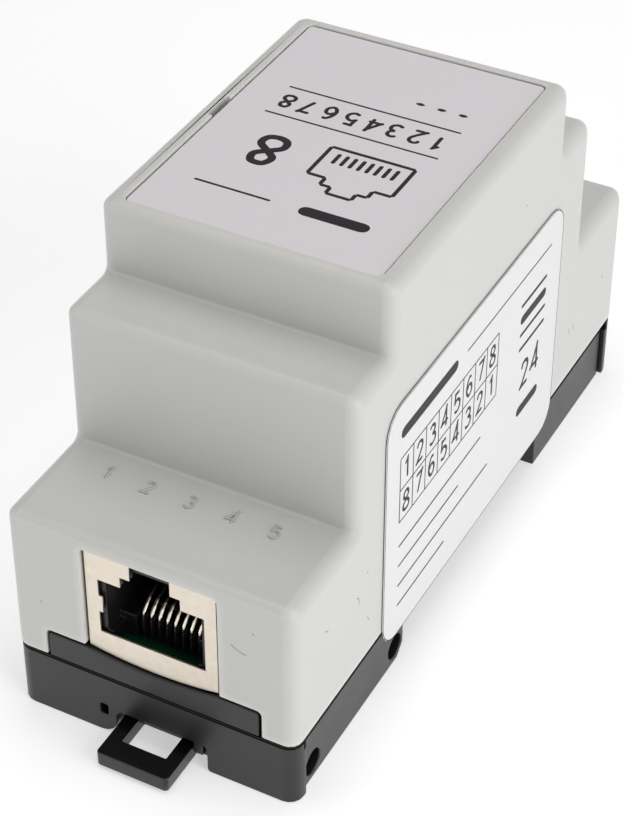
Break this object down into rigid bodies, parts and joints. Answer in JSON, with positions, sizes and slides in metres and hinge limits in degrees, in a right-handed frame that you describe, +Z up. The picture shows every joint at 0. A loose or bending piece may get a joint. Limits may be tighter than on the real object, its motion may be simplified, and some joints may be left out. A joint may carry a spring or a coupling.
{
  "type": "network surge protector",
  "caption": "Stepped rail-mounted housing with a shielded network jack at each end, a clipped cover, a black base and a sliding rail latch.",
  "frame": {"origin": "under the middle of the whole part, on the plane that its feet stand on", "axes": "+Y along the housing from the rail latch to the far end, +X across it towards the side label, +Z up from the rail to the front plate"},
  "size_m": [0.0362, 0.0952, 0.056],
  "materials": {
    "cover_plastic": "light grey ABS, fine matt texture",
    "base_plastic": "black ABS, matt",
    "latch_plastic": "black acetal, satin",
    "label_film": "pale printed film, satin",
    "shield_metal": "tinned sheet steel, matt",
    "insert_plastic": "black nylon",
    "contact_metal": "gold-plated bronze",
    "board_laminate": "green solder mask",
    "tube_ceramic": "white ceramic with metal discs",
    "diode_epoxy": "black epoxy",
    "screw_metal": "zinc-plated steel"
  },
  "bodies": {
    "housing": {"base": "base_plastic", "circuit_board": "board_laminate", "earth_contact": "contact_metal", "front_jack_shield": "shield_metal", "front_jack_insert": "insert_plastic", "front_jack_contact_1": "contact_metal", "front_jack_contact_2": "contact_metal", "front_jack_contact_3": "contact_metal", "front_jack_contact_4": "contact_metal", "front_jack_contact_5": "contact_metal", "front_jack_contact_6": "contact_metal", "front_jack_contact_7": "contact_metal", "front_jack_contact_8": "contact_metal", "front_filler_bar": "base_plastic", "front_board_screw": "screw_metal", "rear_jack_shield": "shield_metal", "rear_jack_insert": "insert_plastic", "rear_jack_contact_1": "contact_metal", "rear_jack_contact_2": "contact_metal", "rear_jack_contact_3": "contact_metal", "rear_jack_contact_4": "contact_metal", "rear_jack_contact_5": "contact_metal", "rear_jack_contact_6": "contact_metal", "rear_jack_contact_7": "contact_metal", "rear_jack_contact_8": "contact_metal", "rear_filler_bar": "base_plastic", "rear_board_screw": "screw_metal", "gas_tube_1": "tube_ceramic", "gas_tube_2": "tube_ceramic", "gas_tube_3": "tube_ceramic", "gas_tube_4": "tube_ceramic", "clamping_diode_1": "diode_epoxy", "clamping_diode_2": "diode_epoxy", "clamping_diode_3": "diode_epoxy", "clamping_diode_4": "diode_epoxy", "top_cover": "cover_plastic", "front_plate": "cover_plastic", "top_label": "label_film", "side_label": "label_film"},
    "latch": {"rail_latch": "latch_plastic"}
  },
  "joints": [
    {"name": "latch_slide", "type": "slide", "parent": "housing", "child": "latch", "axis": [0, -1, 0], "range_m": [0, 0.0035]}
  ]
}
